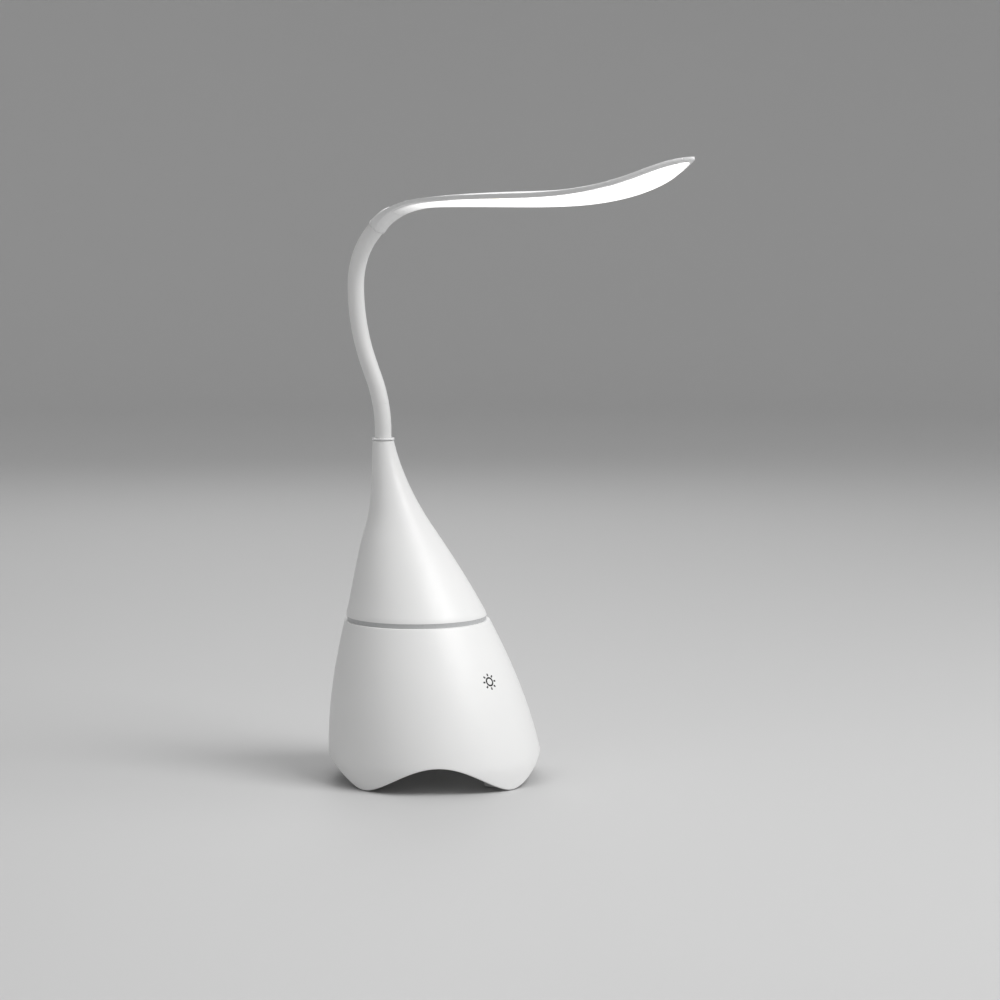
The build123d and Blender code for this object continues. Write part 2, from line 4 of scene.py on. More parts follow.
import bmesh
import bpy
import numpy as np
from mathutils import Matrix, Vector


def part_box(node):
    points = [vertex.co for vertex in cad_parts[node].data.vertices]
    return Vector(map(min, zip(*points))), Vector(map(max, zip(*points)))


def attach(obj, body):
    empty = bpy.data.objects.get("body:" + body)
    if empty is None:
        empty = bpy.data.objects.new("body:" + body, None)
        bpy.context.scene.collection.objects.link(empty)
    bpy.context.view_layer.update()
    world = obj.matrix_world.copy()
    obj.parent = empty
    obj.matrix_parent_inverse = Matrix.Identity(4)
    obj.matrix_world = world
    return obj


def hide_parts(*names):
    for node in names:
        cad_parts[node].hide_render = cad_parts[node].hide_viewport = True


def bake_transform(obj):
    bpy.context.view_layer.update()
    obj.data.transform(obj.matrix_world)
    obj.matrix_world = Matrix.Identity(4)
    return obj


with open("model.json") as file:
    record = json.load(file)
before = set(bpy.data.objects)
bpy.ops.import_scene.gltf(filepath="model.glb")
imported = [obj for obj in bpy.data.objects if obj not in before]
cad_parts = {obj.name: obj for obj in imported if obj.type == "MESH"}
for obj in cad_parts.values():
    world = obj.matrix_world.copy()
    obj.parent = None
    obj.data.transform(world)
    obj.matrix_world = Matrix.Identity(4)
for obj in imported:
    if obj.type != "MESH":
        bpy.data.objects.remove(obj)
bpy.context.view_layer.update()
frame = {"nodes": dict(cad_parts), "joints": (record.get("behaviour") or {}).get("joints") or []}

# The finishes and fine shapes of a battery desk lamp: a teardrop housing, a flexible neck and a
# glowing leaf-shaped head.
# Lengths are written in millimetres and made metres where a mesh is built.

MM = 0.001

# ---- housing outline: height, radius, its change with height, shift back, its change with height ----
HOUSING_RINGS = (
    (0.4, 58.6, 0.0, -3.0, 0.02),
    (15.0, 60.3, -0.1, -0.2, 0.17),
    (90.0, 40.9, -0.39, 13.8, 0.2),
    (140.0, 19.8, -0.5, 27.9, 0.27),
    (190.0, 6.0, -0.15, 41.0, 0.12),
)
HEM_LOW = HOUSING_RINGS[0][0]
CONE_TOP = HOUSING_RINGS[-1][0]
NECK_SHIFT = HOUSING_RINGS[-1][3]
SEAM_HEIGHT = 90.0
GROOVE_DEPTH = 1.2
GROOVE_RING_WIDTH = 1.6
SHELL_WALL = 2.2
NOSE_LOW = 166.0
STUD_HOLE = 2.3
ARCH_HEIGHT = 14.9
ARCH_FULLNESS = 0.8
FOOT_FLAT = 1.5
HEM_EDGE = 0.55
HEM_PASSES = 12
SEAM_EDGE = 0.35
AROUND = 320

# ---- neck ----
COLLAR_RADIUS = 6.5
COLLAR_THICKNESS = 1.2
COLLAR_EDGE = 0.35
NECK_RISE = 3.8
LEAN_BACK = 27.0
LEAN_RADIUS = 66.0
LEAN_RUN = 9.6
RETURN_RADIUS = 98.0
NOD_RADIUS = 39.5
NOD_ANGLE = 48.0
NECK_END_RUN = 6.0
SLEEVE_RADIUS = 4.75
SLEEVE_WALL = 1.0
SLEEVE_STEP = 0.8

# ---- head ----
HEAD_LENGTH = 234.5
HEAD_HALF_WIDTH = 26.0
HEAD_RISE = 16.85
HEAD_RISES = ((0.125, -4.1), (0.25, -1.25), (0.5, 0.0), (0.75, 2.7), (0.875, 9.35), (1.0, 18.6))
TIP_SLOPE = 0.12
LEAF_STEM_POWER = 1.03
LEAF_TIP_POWER = 0.69
STEM_RADIUS = 5.5
STEM_EDGE = 1.1
HEAD_BAND = 2.7
SHELL_CROWN = 1.35
DIFFUSER_CROWN = 4.6
SIDE_BULGE = 0.25
STEM_SHARE = 0.2
STEM_TILT = radians(25)
GRIP_COVER = 1.0
GRIP_END = 0.052
GRIP_SPREAD = 0.045
SPLIT_SHARE = 22.0 / HEAD_LENGTH
PARTING = -HEAD_BAND / 2 - 0.2
PARTING_GAP = 0.12
HEAD_WALL = 1.2
HOLLOW_FIRST = SPLIT_SHARE + 0.02
HOLLOW_LAST = 0.97
SHELL_END = 0.9995
DIFFUSER_END = 0.995
BAND_LEAST = 0.45
LOOK_AHEAD = 0.002
OUTSIDE_POINTS = 90
INSIDE_POINTS = 62
BELLY_POINTS = 60
HEAD_ROWS = 170
GLOW_RUN = 42.0

# ---- edges sharper than these stay sharp, in degrees ----
MOULDED_CREASE = 38
SOFT_CREASE = 50

# ---- sun symbol for the touch control ----
SYMBOL_HEIGHT = 59.0
SYMBOL_RADIUS = 2.75
SYMBOL_STROKE = 0.95
SYMBOL_RAY_START = 3.3
SYMBOL_RAY_END = 4.75
SYMBOL_RAYS = 8
SYMBOL_FILM = 0.03


# ======== meshes ========


def skin(name, loops, wrap=False, first_cap=False, last_cap=False):
    """A piece skinned over closed loops of points in millimetres, each loop with as many points."""
    loops = [np.asarray(loop, float) * MM for loop in loops]
    count, per = len(loops), len(loops[0])
    mesh = bpy.data.meshes.new(name)
    faces = []
    for i in range(count if wrap else count - 1):
        a, b = i * per, (i + 1) % count * per
        for j in range(per):
            k = (j + 1) % per
            faces.append((a + j, a + k, b + k, b + j))
    if first_cap:
        faces.append(tuple(range(per)))
    if last_cap:
        faces.append(tuple(range((count - 1) * per, count * per)))
    mesh.from_pydata([tuple(p) for loop in loops for p in loop], [], faces)
    return piece_from(name, mesh)


def piece_from(name, mesh, merge=1e-6):
    """An object of a mesh whose doubles are merged and whose faces point outwards."""
    form = bmesh.new()
    form.from_mesh(mesh)
    bmesh.ops.remove_doubles(form, verts=form.verts, dist=merge)
    bmesh.ops.dissolve_degenerate(form, edges=form.edges, dist=merge)
    bmesh.ops.recalc_face_normals(form, faces=form.faces)
    form.to_mesh(mesh)
    form.free()
    mesh.shade_smooth()
    mesh.set_sharp_from_angle(angle=radians(MOULDED_CREASE))
    piece = bpy.data.objects.new(name, mesh)
    bpy.context.scene.collection.objects.link(piece)
    return piece


def quarter(centre_a, centre_b, radius, start, steps=6):
    """Points of a quarter round in a section, from the angle start on, in degrees."""
    angles = [radians(start + 90 * i / steps) for i in range(steps + 1)]
    return [(centre_a + radius * cos(a), centre_b + radius * sin(a)) for a in angles]


def levels(low, high, steps):
    return [low + (high - low) * i / steps for i in range(steps + 1)]


# ======== housing ========


def housing_at(height):
    """The housing's radius and shift back at a height."""
    pairs = zip(HOUSING_RINGS, HOUSING_RINGS[1:])
    low, high = next((p for p in pairs if height <= p[1][0]), HOUSING_RINGS[-2:])
    span = high[0] - low[0]
    t = (height - low[0]) / span
    start, end = 2 * t**3 - 3 * t**2 + 1, 3 * t**2 - 2 * t**3
    leave, arrive = (t**3 - 2 * t**2 + t) * span, (t**3 - t**2) * span
    return tuple(
        start * low[i] + leave * low[i + 1] + end * high[i] + arrive * high[i + 1] for i in (1, 3)
    )


def housing_point(angle, height, inset=0.0):
    """A point of the housing's surface, drawn in by inset."""
    radius, shift = housing_at(height)
    return (
        (radius - inset) * cos(angle) - shift,
        (radius - inset) * sin(angle),
        height,
    )


def hem_height(angle):
    """The height of the lower shell's hem, which rises in an arch between each two feet."""
    half = HOUSING_RINGS[0][1] * sin(radians(45)) - FOOT_FLAT / 2
    height = HEM_LOW
    for _ in range(HEM_PASSES):
        x, y, _z = housing_point(angle, height)
        x += HOUSING_RINGS[0][3]
        across = [abs(y * cos(a) - x * sin(a)) for a in (radians(45), radians(135))]
        swings = [asin(min(1.0, s / half) * sin(radians(45))) for s in across]
        rise = max((1 + cos(4 * swing)) / 2 for swing in swings)
        height = HEM_LOW + ARCH_HEIGHT * max(0.0, rise) ** ARCH_FULLNESS
    return height


def lower_shell():
    """The lower shell: thick walls, an arched hem with rounded edges and a rounded seam edge."""
    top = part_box("lower_shell")[1].z / MM
    loops = []
    for i in range(AROUND):
        angle = 2 * pi * i / AROUND
        hem = hem_height(angle)
        section = [(0.0, z) for z in levels(top - SEAM_EDGE, hem + HEM_EDGE, 56)]
        section += quarter(HEM_EDGE, hem + HEM_EDGE, HEM_EDGE, 180)[1:]
        section += quarter(SHELL_WALL - HEM_EDGE, hem + HEM_EDGE, HEM_EDGE, 270)
        section += [(SHELL_WALL, z) for z in levels(hem + HEM_EDGE, top, 28)[1:]]
        section += quarter(SEAM_EDGE, top - SEAM_EDGE, SEAM_EDGE, 90)[:-1]
        loops.append([housing_point(angle, z, inset) for inset, z in section])
    return skin("lower_shell_form", loops, wrap=True)


def upper_shell():
    """The upper shell: from its rounded seam edge to the top of the cone and the neck's hole."""
    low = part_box("upper_shell")[0].z / MM
    top = CONE_TOP
    loops = []
    for i in range(AROUND):
        angle = 2 * pi * i / AROUND
        section = quarter(SEAM_EDGE, low + SEAM_EDGE, SEAM_EDGE, 270)[::-1]
        section += [(0.0, z) for z in levels(low + SEAM_EDGE, top - SEAM_EDGE, 72)[1:]]
        section += quarter(SEAM_EDGE, top - SEAM_EDGE, SEAM_EDGE, 180)[::-1][1:]
        outside = [housing_point(angle, z, inset) for inset, z in section]
        x, y = STUD_HOLE * cos(angle) - NECK_SHIFT, STUD_HOLE * sin(angle)
        hole = [(x, y, top), (x, y, NOSE_LOW)]
        inside = [housing_point(angle, z, SHELL_WALL) for z in levels(NOSE_LOW, low, 30)]
        loops.append(outside + hole + inside)
    return skin("upper_shell_form", loops, wrap=True)


def turned(name, section, centre_x, around=192):
    """A ring turned about an upright axis from a closed section of radius and height."""
    loops = []
    for i in range(around):
        angle = 2 * pi * i / around
        loops.append([(r * cos(angle) + centre_x, r * sin(angle), z) for r, z in section])
    return skin(name, loops, wrap=True)


def groove_ring():
    """The ring that lies back in the groove between the shells."""
    low, high = (corner.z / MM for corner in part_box("groove_ring"))
    radius, shift = housing_at(SEAM_HEIGHT)
    outer = radius - GROOVE_DEPTH
    inner = outer - GROOVE_RING_WIDTH
    section = [(inner, low), (outer, low), (outer, SEAM_HEIGHT), (outer, high), (inner, high)]
    return turned("groove_ring_form", section, -shift, AROUND)


def collar():
    """The thin disc under the neck, with rounded edges."""
    low, high = CONE_TOP, CONE_TOP + COLLAR_THICKNESS
    reach = COLLAR_RADIUS - COLLAR_EDGE
    section = [(STUD_HOLE, low)]
    section += quarter(reach, low + COLLAR_EDGE, COLLAR_EDGE, 270)
    section += quarter(reach, high - COLLAR_EDGE, COLLAR_EDGE, 0)
    section += [(STUD_HOLE, high)]
    return turned("collar_form", section, -NECK_SHIFT, 128)


# ======== neck ========


def neck_route():
    """Points along the neck's centreline, from the collar up to the head, and their headings."""
    x, z, lean = -NECK_SHIFT, CONE_TOP + COLLAR_THICKNESS, 0.0
    points, headings = [(x, z)], [lean]
    plan = (
        (0, 0, NECK_RISE),
        (LEAN_RADIUS, LEAN_BACK, 0),
        (0, 0, LEAN_RUN),
        (RETURN_RADIUS, -LEAN_BACK, 0),
        (NOD_RADIUS, -NOD_ANGLE, 0),
        (0, 0, NECK_END_RUN),
    )
    for radius, swing, run in plan:
        length = run or radius * abs(radians(swing))
        steps = max(2, round(length / SLEEVE_STEP))
        for _ in range(steps):
            turn = radians(swing) / steps
            chord = run / steps or 2 * radius * sin(abs(turn) / 2)
            x -= chord * sin(lean + turn / 2)
            z += chord * cos(lean + turn / 2)
            lean += turn
            points.append((x, z))
            headings.append(lean)
    return points, headings


def route_tree():
    """A tube of a given radius along a curve, in a given finish."""
    tree = bpy.data.node_groups.new("Neck sleeve", "GeometryNodeTree")
    face = tree.interface
    face.new_socket("Route", in_out="INPUT", socket_type="NodeSocketGeometry")
    face.new_socket("Radius", in_out="INPUT", socket_type="NodeSocketFloat")
    face.new_socket("Sides", in_out="INPUT", socket_type="NodeSocketInt")
    face.new_socket("Finish", in_out="INPUT", socket_type="NodeSocketMaterial")
    face.new_socket("Sleeve", in_out="OUTPUT", socket_type="NodeSocketGeometry")
    add = tree.nodes.new
    given, result = add("NodeGroupInput"), add("NodeGroupOutput")
    profile, tube = add("GeometryNodeCurvePrimitiveCircle"), add("GeometryNodeCurveToMesh")
    real, finish = add("GeometryNodeRealizeInstances"), add("GeometryNodeSetMaterial")
    link = tree.links.new
    link(given.outputs["Radius"], profile.inputs["Radius"])
    link(given.outputs["Sides"], profile.inputs["Resolution"])
    link(given.outputs["Route"], tube.inputs["Curve"])
    link(profile.outputs["Curve"], tube.inputs["Profile Curve"])
    link(tube.outputs["Mesh"], real.inputs["Geometry"])
    link(real.outputs["Geometry"], finish.inputs["Geometry"])
    link(given.outputs["Finish"], finish.inputs["Material"])
    link(finish.outputs["Geometry"], result.inputs["Sleeve"])
    return tree


def set_inputs(modifier, tree, **values):
    """Gives a tree's inputs their values, each by its socket's identifier."""
    for item in tree.interface.items_tree:
        if item.item_type == "SOCKET" and item.in_out == "INPUT" and item.name in values:
            modifier[item.identifier] = values[item.name]


def made_mesh(carrier, name):
    """The plain mesh that an object's modifiers give; the carrier is then removed."""
    graph = bpy.context.evaluated_depsgraph_get()
    mesh = bpy.data.meshes.new_from_object(carrier.evaluated_get(graph))
    mesh.name = name
    bpy.data.objects.remove(carrier)
    return mesh


def sleeve_tube(tree, name, points, finish):
    """One stretch of the sleeve, with its wall, along some of the route's points."""
    curve = bpy.data.curves.new(name, "CURVE")
    curve.dimensions = "3D"
    spline = curve.splines.new("POLY")
    spline.points.add(len(points) - 1)
    for place, (x, z) in zip(spline.points, points):
        place.co = (x * MM, 0, z * MM, 1)
    carrier = bpy.data.objects.new(name, curve)
    bpy.context.scene.collection.objects.link(carrier)
    tube = carrier.modifiers.new("sleeve", "NODES")
    tube.node_group = tree
    set_inputs(tube, tree, Radius=SLEEVE_RADIUS * MM, Sides=56, Finish=finish)
    piece = piece_from(name, made_mesh(carrier, name))
    wall = piece.modifiers.new("wall", "SOLIDIFY")
    wall.thickness = SLEEVE_WALL * MM
    wall.offset = -1
    mesh = made_mesh(piece, name)
    mesh.shade_smooth()
    mesh.set_sharp_from_angle(angle=radians(SOFT_CREASE))
    return linked(name, mesh)


def linked(name, mesh):
    piece = bpy.data.objects.new(name, mesh)
    bpy.context.scene.collection.objects.link(piece)
    return piece


def neck_sleeve(finish):
    """The sleeve in one stretch round each joint, curved along the neck's route, which meets its
    neighbours.
    """
    points, _headings = neck_route()
    joints = frame["joints"]
    places = [Vector(j["pos_m"]) / MM for j in joints]
    spots = [Vector((x, 0, z)) for x, z in points]
    nearest = [min(range(len(spots)), key=lambda i: (spots[i] - p).length) for p in places]
    cuts = [0] + [(a + b) // 2 for a, b in zip(nearest, nearest[1:])] + [len(spots) - 1]
    tree = route_tree()
    for number, joint in enumerate(joints):
        first, last = cuts[number], cuts[number + 1]
        piece = sleeve_tube(tree, f"sleeve_{number + 1}", points[first : last + 1], finish)
        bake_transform(piece)
        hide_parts("neck_sleeve")


# ======== head ========


def clamped_spline(points, first_slope, last_slope):
    """A smooth curve through points, with its direction set at both ends."""
    points = np.array(points, float)
    count = len(points)
    reach = np.concatenate([[0], np.cumsum(np.linalg.norm(np.diff(points, axis=0), axis=1))])
    gap = np.diff(reach)
    system, wanted = np.eye(count), np.zeros_like(points)
    wanted[0], wanted[-1] = first_slope, last_slope
    for i in range(1, count - 1):
        system[i, i - 1 : i + 2] = gap[i], 2 * (gap[i - 1] + gap[i]), gap[i - 1]
        before = (points[i] - points[i - 1]) / gap[i - 1]
        after = (points[i + 1] - points[i]) / gap[i]
        wanted[i] = 3 * (gap[i] * before + gap[i - 1] * after)
    slopes = np.linalg.solve(system, wanted)

    def at(share):
        along = share * reach[-1]
        i = int(np.clip(np.searchsorted(reach, along) - 1, 0, count - 2))
        t = (along - reach[i]) / gap[i]
        return (
            (2 * t**3 - 3 * t**2 + 1) * points[i]
            + (t**3 - 2 * t**2 + t) * gap[i] * slopes[i]
            + (3 * t**2 - 2 * t**3) * points[i + 1]
            + (t**3 - t**2) * gap[i] * slopes[i + 1]
        )

    return at


def head_midline():
    route, headings = neck_route()
    (x, z), lean = route[-1], headings[-1]
    points = [(x, z)]
    points += [(x + HEAD_LENGTH * t, z + HEAD_RISE + rise) for t, rise in HEAD_RISES]
    tip = Vector((1, TIP_SLOPE)).normalized()
    return clamped_spline(points, (-sin(lean), cos(lean)), tip)


def leaf(t):
    """The leaf's half width a share t of the way from the neck to the tip."""
    widest = LEAF_STEM_POWER / (LEAF_STEM_POWER + LEAF_TIP_POWER)
    swell = (t / widest) ** LEAF_STEM_POWER * ((1 - t) / (1 - widest)) ** LEAF_TIP_POWER
    return sqrt(STEM_RADIUS**2 * (1 - t) + (HEAD_HALF_WIDTH * swell) ** 2)


def arc(start, through, end, steps):
    """Points on the round arc from start to end through a third point."""
    (ax, ay), (bx, by), (cx, cy) = start, through, end
    twice = 2 * (ax * (by - cy) + bx * (cy - ay) + cx * (ay - by))
    if abs(twice) < 1e-9:
        return [(ax + (cx - ax) * i / steps, ay + (cy - ay) * i / steps) for i in range(steps + 1)]
    a2, b2, c2 = ax**2 + ay**2, bx**2 + by**2, cx**2 + cy**2
    ux = (a2 * (by - cy) + b2 * (cy - ay) + c2 * (ay - by)) / twice
    uy = (a2 * (cx - bx) + b2 * (ax - cx) + c2 * (bx - ax)) / twice
    angle = [np.arctan2(y - uy, x - ux) for x, y in (start, through, end)]
    sweep = (angle[2] - angle[0]) % (2 * pi)
    if (angle[1] - angle[0]) % (2 * pi) > sweep:
        sweep -= 2 * pi
    radius = sqrt((ax - ux) ** 2 + (ay - uy) ** 2)
    turns = [angle[0] + sweep * i / steps for i in range(steps + 1)]
    return [(ux + radius * cos(a), uy + radius * sin(a)) for a in turns]


def head_outline(t):
    """The head's section at t: its crown, its two sides and its belly, each a list of points."""
    fullness = min(1.0, leaf(t) / HEAD_HALF_WIDTH)
    stem = max(0.0, 1 - t / STEM_SHARE) ** 2
    half = leaf(t)
    flank, rise = sin(STEM_TILT), 1 - sin(STEM_TILT)
    edge = BAND_LEAST + (1 - BAND_LEAST) * fullness
    band = HEAD_BAND / 2 * edge * (1 - stem) + STEM_RADIUS * flank * stem
    crown = SHELL_CROWN * fullness * (1 - stem) + STEM_RADIUS * rise * stem
    crown += GRIP_COVER * max(0.0, cos(pi / 2 * min(1.0, abs(t - GRIP_END) / GRIP_SPREAD))) ** 2
    belly = DIFFUSER_CROWN * fullness * (1 - stem) + STEM_RADIUS * rise * stem
    bulge = SIDE_BULGE * fullness * (1 - stem) + STEM_RADIUS * (1 - cos(STEM_TILT)) * stem
    side = half - min(bulge, half * 0.5)
    top = arc((side, band), (0, band + crown), (-side, band), 40)
    left = arc((-side, band), (-half, 0), (-side, -band), 10)
    bottom = arc((-side, -band), (0, -band - belly), (side, -band), 40)
    right = arc((side, -band), (half, 0), (side, band), 10)
    return top, left, bottom, right


def below(points, level):
    """The stretch of a belly's points that lies under a level, with its two ends on the level."""
    inside = [p for p in points if p[1] < level]
    if not inside:
        return [(0.0, level)] * 2
    ends = []
    for a, b in zip(points, points[1:]):
        if (a[1] - level) * (b[1] - level) < 0:
            s = (level - a[1]) / (b[1] - a[1])
            ends.append((a[0] + (b[0] - a[0]) * s, level))
    return [ends[0]] + inside + [ends[-1]] if len(ends) > 1 else inside


def evenly(points, count):
    """The same line with a given number of points, evenly spaced."""
    points = np.array(points, float)
    reach = np.concatenate([[0], np.cumsum(np.linalg.norm(np.diff(points, axis=0), axis=1))])
    wanted = np.linspace(0, reach[-1], count)
    across, up = (np.interp(wanted, reach, points[:, i]).tolist() for i in (0, 1))
    return list(zip(across, up))


def drawn_in(points, wall):
    """A line of points moved by the wall towards the section's middle line."""
    edge = max(abs(x) for x, _ in points)
    share = max(0.0, 1 - wall / edge) if edge else 0.0
    return [(x * share, y) for x, y in points]


def placed(midline, t, section):
    """A section's points set square across the head's midline."""
    centre = midline(t)
    ahead, behind = midline(min(1.0, t + LOOK_AHEAD)), midline(max(0.0, t - LOOK_AHEAD))
    heading = (ahead - behind) / np.linalg.norm(ahead - behind)
    return [(centre[0] - heading[1] * v, u, centre[1] + heading[0] * v) for u, v in section]


def head_shell(midline):
    """The stem and the leaf's top: a thin shell, hollow over the lights, closed round the stem."""
    loops = []

    def row(t, floor, share=1.0):
        top, left, bottom, right = head_outline(t)
        split = PARTING
        if floor == "belly" or min(p[1] for p in bottom) >= split:
            under = bottom
            left_rest, right_rest = [], []
        else:
            cut = below(bottom, split)
            left_rest = [p for p in bottom[:20] if p[1] >= split]
            right_rest = [p for p in bottom[20:] if p[1] >= split]
            rim_left, rim_right = cut[0], cut[-1]
            under = [rim_left, rim_right]
            if floor == "roof":
                roof = [(x, y - HEAD_WALL) for x, y in top[::-1]]
                roof = drawn_in(roof, HEAD_WALL)
                wall_in = [(rim_left[0] + HEAD_WALL, split), (roof[0][0], split)]
                under = [rim_left] + wall_in + roof + [(roof[-1][0], split), rim_right]
        outside = evenly(right[:-1] + top + left[1:] + left_rest, OUTSIDE_POINTS)
        if right_rest:
            outside = evenly(right_rest + right + top[1:] + left[1:] + left_rest, OUTSIDE_POINTS)
        inside = evenly(under, INSIDE_POINTS)[1:-1]
        section = [(x * share, y * share) for x, y in outside + inside]
        loops.append(placed(midline, t, section))

    for back, rise in quarter(STEM_EDGE, 0, STEM_EDGE, 180, 8)[::-1]:
        share = 1 - (STEM_EDGE + rise) / STEM_RADIUS
        row(back / HEAD_LENGTH, "belly", share)
    for t in levels(STEM_EDGE / HEAD_LENGTH, SPLIT_SHARE, 22)[1:]:
        row(t, "belly")
    for t in levels(SPLIT_SHARE, HOLLOW_FIRST, 4):
        row(t, "flat")
    for t in levels(HOLLOW_FIRST, HOLLOW_LAST, HEAD_ROWS):
        row(t, "roof")
    for t in levels(HOLLOW_LAST, SHELL_END, 16):
        row(t, "flat")
    return skin("head_shell_form", loops, first_cap=True, last_cap=True)


def head_diffuser(midline):
    """The glowing belly under the shell, with its own thin wall."""
    loops = []

    def row(t, hollow):
        belly = head_outline(t)[2]
        level = PARTING - PARTING_GAP
        cut = evenly(below(belly, level), BELLY_POINTS)
        rim = [cut[-1], cut[0]]
        if hollow:
            share = max(0.0, 1 - HEAD_WALL / max(HEAD_WALL, abs(cut[0][0])))
            inner = [(x * share, min(level, y + HEAD_WALL)) for x, y in cut[::-1]]
            rim = [cut[-1]] + inner + [cut[0]]
        loops.append(placed(midline, t, cut + evenly(rim, INSIDE_POINTS)[1:-1]))

    first = SPLIT_SHARE + PARTING_GAP / HEAD_LENGTH
    for t in levels(first, HOLLOW_FIRST, 4):
        row(t, False)
    for t in levels(HOLLOW_FIRST, HOLLOW_LAST, HEAD_ROWS):
        row(t, True)
    for t in levels(HOLLOW_LAST, DIFFUSER_END, 12):
        row(t, False)
    return skin("head_diffuser_form", loops, first_cap=True, last_cap=True)


# ======== sun symbol ========


def sun_tree():
    """A flat ring with rays round it."""
    tree = bpy.data.node_groups.new("Sun symbol", "GeometryNodeTree")
    face = tree.interface
    for name in ("Ring radius", "Stroke", "Ray start", "Ray end"):
        face.new_socket(name, in_out="INPUT", socket_type="NodeSocketFloat")
    face.new_socket("Rays", in_out="INPUT", socket_type="NodeSocketInt")
    face.new_socket("Finish", in_out="INPUT", socket_type="NodeSocketMaterial")
    face.new_socket("Symbol", in_out="OUTPUT", socket_type="NodeSocketGeometry")
    add, link = tree.nodes.new, tree.links.new
    given, result = add("NodeGroupInput"), add("NodeGroupOutput")

    def value(operation, first, second):
        step = add("ShaderNodeMath")
        step.operation = operation
        for socket, source in zip(step.inputs, (first, second)):
            if isinstance(source, (int, float)):
                socket.default_value = source
            else:
                link(source, socket)
        return step.outputs[0]

    half_stroke = value("MULTIPLY", given.outputs["Stroke"], 0.5)
    middle = value("SUBTRACT", given.outputs["Ring radius"], half_stroke)
    centre_line = add("GeometryNodeCurvePrimitiveCircle")
    centre_line.inputs["Resolution"].default_value = 96
    link(middle, centre_line.inputs["Radius"])
    stroke = add("GeometryNodeCurvePrimitiveLine")
    ends = []
    for sign in (-1, 1):
        corner = add("ShaderNodeCombineXYZ")
        link(value("MULTIPLY", half_stroke, sign), corner.inputs["X"])
        ends.append(corner.outputs["Vector"])
    link(ends[0], stroke.inputs["Start"])
    link(ends[1], stroke.inputs["End"])
    ring = add("GeometryNodeCurveToMesh")
    link(centre_line.outputs["Curve"], ring.inputs["Curve"])
    link(stroke.outputs["Curve"], ring.inputs["Profile Curve"])

    ray_length = value("SUBTRACT", given.outputs["Ray end"], given.outputs["Ray start"])
    both_ends = value("ADD", given.outputs["Ray end"], given.outputs["Ray start"])
    ray_middle = value("MULTIPLY", both_ends, 0.5)
    ray = add("GeometryNodeMeshGrid")
    link(ray_length, ray.inputs["Size X"])
    link(given.outputs["Stroke"], ray.inputs["Size Y"])
    ray.inputs["Vertices X"].default_value = 6
    ray.inputs["Vertices Y"].default_value = 3
    spots = add("GeometryNodeMeshCircle")
    link(given.outputs["Rays"], spots.inputs["Vertices"])
    link(ray_middle, spots.inputs["Radius"])
    place = add("GeometryNodeInputPosition")
    outwards = add("FunctionNodeAlignRotationToVector")
    outwards.axis = "X"
    link(place.outputs["Position"], outwards.inputs["Vector"])
    copies = add("GeometryNodeInstanceOnPoints")
    link(spots.outputs["Mesh"], copies.inputs["Points"])
    link(ray.outputs["Mesh"], copies.inputs["Instance"])
    link(outwards.outputs["Rotation"], copies.inputs["Rotation"])

    both = add("GeometryNodeJoinGeometry")
    link(ring.outputs["Mesh"], both.inputs["Geometry"])
    link(copies.outputs["Instances"], both.inputs["Geometry"])
    real, finish = add("GeometryNodeRealizeInstances"), add("GeometryNodeSetMaterial")
    link(both.outputs["Geometry"], real.inputs["Geometry"])
    link(real.outputs["Geometry"], finish.inputs["Geometry"])
    link(given.outputs["Finish"], finish.inputs["Material"])
    link(finish.outputs["Geometry"], result.inputs["Symbol"])
    return tree


def sun_symbol(finish):
    """The printed sun on the lower shell's front, laid on the curved wall."""
    carrier = bpy.data.objects.new("symbol", bpy.data.meshes.new("symbol"))
    bpy.context.scene.collection.objects.link(carrier)
    tree = sun_tree()
    drawn = carrier.modifiers.new("symbol", "NODES")
    drawn.node_group = tree
    sizes = {
        "Ring radius": SYMBOL_RADIUS * MM,
        "Stroke": SYMBOL_STROKE * MM,
        "Ray start": SYMBOL_RAY_START * MM,
        "Ray end": SYMBOL_RAY_END * MM,
        "Rays": SYMBOL_RAYS,
        "Finish": finish,
    }
    set_inputs(drawn, tree, **sizes)
    mesh = made_mesh(carrier, "touch_symbol")
    slope = Vector(housing_point(0, SYMBOL_HEIGHT + 1)) - Vector(housing_point(0, SYMBOL_HEIGHT - 1))
    climb = slope.normalized().z
    for vertex in mesh.vertices:
        sideways, up = vertex.co.x / MM, vertex.co.y / MM
        height = SYMBOL_HEIGHT + up * climb
        angle = sideways / housing_at(height)[0]
        vertex.co = Vector(housing_point(angle, height, -SYMBOL_FILM)) * MM
    form = bmesh.new()
    form.from_mesh(mesh)
    bmesh.ops.remove_doubles(form, verts=form.verts, dist=1e-7)
    bmesh.ops.recalc_face_normals(form, faces=form.faces)
    for face in form.faces:
        if face.normal.x < 0:
            face.normal_flip()
    form.to_mesh(mesh)
    form.free()
    piece = linked("touch_symbol", mesh)
    film = piece.modifiers.new("film", "SOLIDIFY")
    film.thickness = 2 * SYMBOL_FILM * MM
    film.offset = -1
    mesh = made_mesh(piece, "touch_symbol")
    mesh.shade_smooth()
    mesh.set_sharp_from_angle(angle=radians(SOFT_CREASE))
    return linked("touch_symbol", mesh)


# ======== finishes ========


